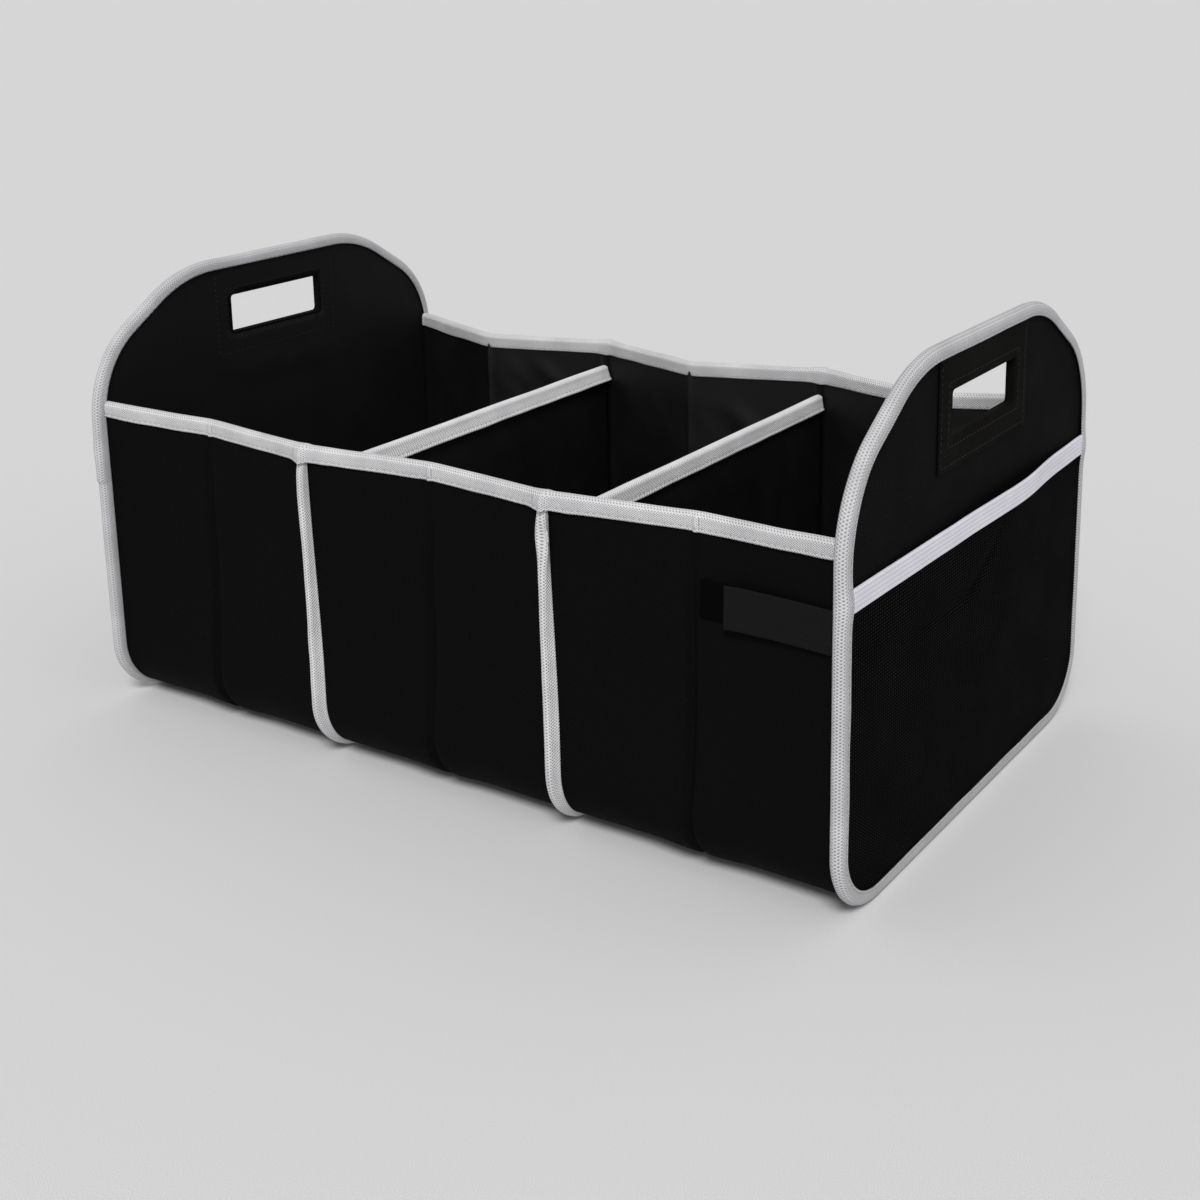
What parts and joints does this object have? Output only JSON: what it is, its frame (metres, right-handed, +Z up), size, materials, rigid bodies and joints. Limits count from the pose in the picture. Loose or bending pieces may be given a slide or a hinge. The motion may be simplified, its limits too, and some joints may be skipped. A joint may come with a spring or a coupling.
{
  "type": "car trunk organizer",
  "caption": "Collapsible fabric trunk organizer with open compartments, dividers, tall end panels with hand holes and mesh pockets, edged with light tape.",
  "frame": {"origin": "on the floor, under the middle of the organizer's bounding box", "axes": "+X along the length, towards the end with the closure straps; -Y is the front; +Z up"},
  "size_m": [0.5188, 0.313, 0.264],
  "materials": {
    "outer_fabric": "black woven polyester, matte",
    "lining_fabric": "black woven polyester, matte",
    "patch_fabric": "black reinforcing fabric with a faint brown cast",
    "edge_tape": "light grey woven binding tape",
    "elastic": "off-white ribbed elastic",
    "mesh_fabric": "black knitted net",
    "strap_webbing": "dark grey webbing",
    "loop_pad": "black loop pile",
    "stiffener_board": "raw pressed fibre board"
  },
  "bodies": {
    "root": {"left_bay_outer_fabric": "outer_fabric", "left_bay_lining": "lining_fabric", "left_bay_front_board_a": "stiffener_board", "left_bay_front_board_b": "stiffener_board", "left_bay_back_board_a": "stiffener_board", "left_bay_back_board_b": "stiffener_board", "left_base_board": "lining_fabric", "middle_bay_outer_fabric": "outer_fabric", "middle_bay_lining": "lining_fabric", "middle_bay_front_board_a": "stiffener_board", "middle_bay_front_board_b": "stiffener_board", "middle_bay_back_board_a": "stiffener_board", "middle_bay_back_board_b": "stiffener_board", "middle_base_board": "lining_fabric", "right_bay_outer_fabric": "outer_fabric", "right_bay_lining": "lining_fabric", "right_bay_front_board_a": "stiffener_board", "right_bay_front_board_b": "stiffener_board", "right_bay_back_board_a": "stiffener_board", "right_bay_back_board_b": "stiffener_board", "right_base_board": "lining_fabric", "left_divider_board": "stiffener_board", "left_divider_sleeve": "lining_fabric", "left_divider_top_tape": "edge_tape", "left_divider_seam_tape": "edge_tape", "right_divider_board": "stiffener_board", "right_divider_sleeve": "lining_fabric", "right_divider_top_tape": "edge_tape", "right_divider_seam_tape": "edge_tape", "front_top_tape": "edge_tape", "back_top_tape": "edge_tape", "left_end_outer_fabric": "outer_fabric", "left_end_board": "stiffener_board", "left_end_inner_fabric": "lining_fabric", "left_end_tape": "edge_tape", "left_handle_patch": "patch_fabric", "left_mesh_pocket": "mesh_fabric", "left_pocket_elastic": "elastic", "right_end_outer_fabric": "outer_fabric", "right_end_board": "stiffener_board", "right_end_inner_fabric": "lining_fabric", "right_end_tape": "edge_tape", "right_handle_patch": "patch_fabric", "right_mesh_pocket": "mesh_fabric", "right_pocket_elastic": "elastic", "front_strap_pad": "loop_pad", "front_closure_strap": "strap_webbing", "back_strap_pad": "loop_pad", "back_closure_strap": "strap_webbing"}
  },
  "joints": []
}
